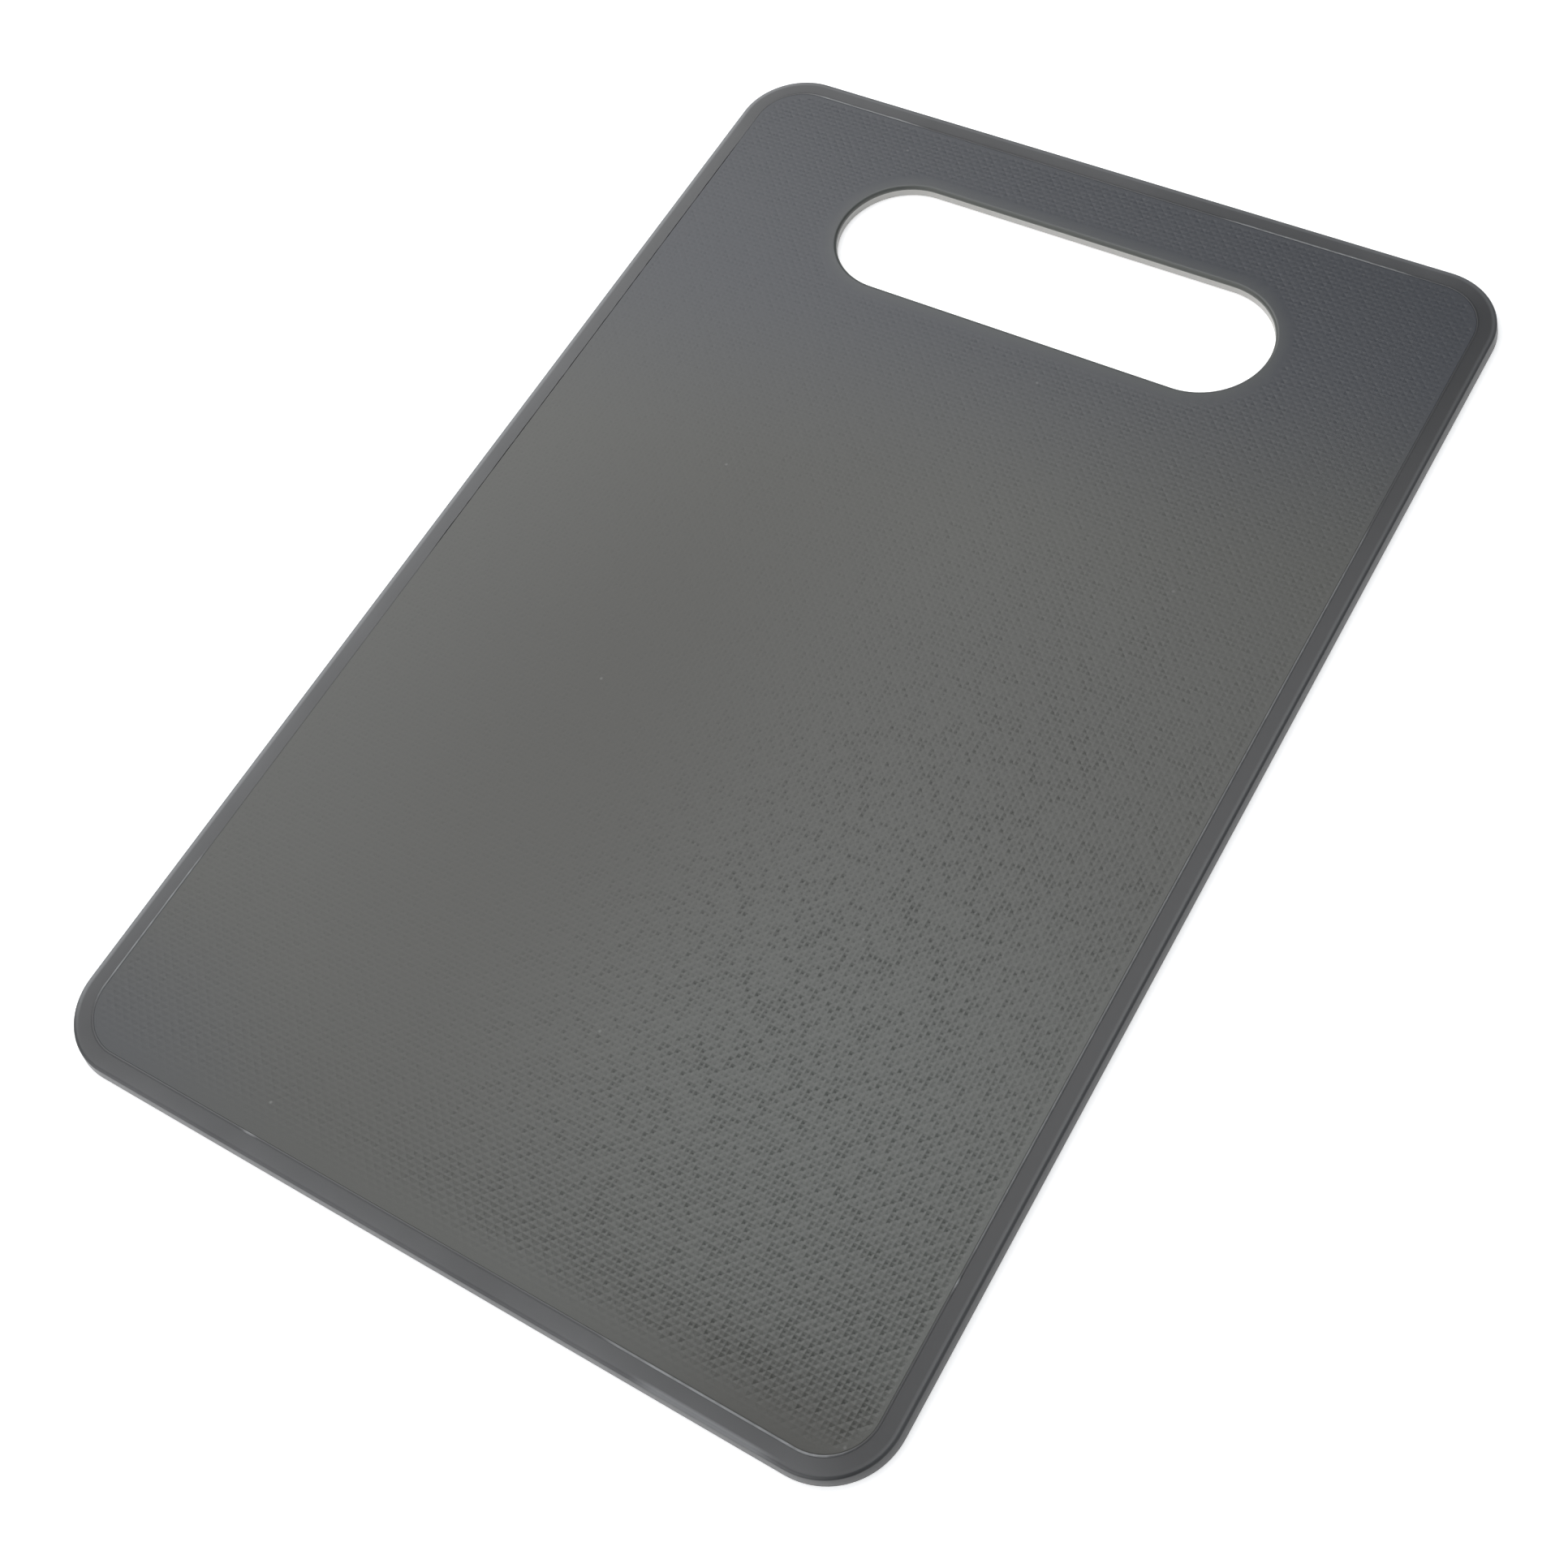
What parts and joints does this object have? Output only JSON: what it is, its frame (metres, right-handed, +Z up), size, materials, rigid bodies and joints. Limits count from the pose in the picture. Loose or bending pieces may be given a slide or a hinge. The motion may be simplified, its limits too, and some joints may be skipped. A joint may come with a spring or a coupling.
{
  "type": "plastic cutting board",
  "caption": "Thin rectangular plastic cutting board with rounded corners, a dark woven-texture cutting sheet on a pale base plate, a smooth rim all round and an obround hand slot at one end.",
  "frame": {"origin": "centre of the underside, on the surface that the board lies on", "axes": "+Z up out of the cutting face, +Y along the length towards the hand slot, +X across the width"},
  "size_m": [0.16, 0.245, 0.0026],
  "materials": {
    "undyed_plastic": "undyed polypropylene, moulded, satin",
    "textured_dark_plastic": "dark grey polypropylene pressed with a fine plain-weave texture, matte",
    "smooth_dark_plastic": "dark grey polypropylene, moulded smooth, satin"
  },
  "bodies": {
    "root": {"base_plate": "undyed_plastic", "cutting_sheet": "textured_dark_plastic", "edge_rim": "smooth_dark_plastic"}
  },
  "joints": []
}
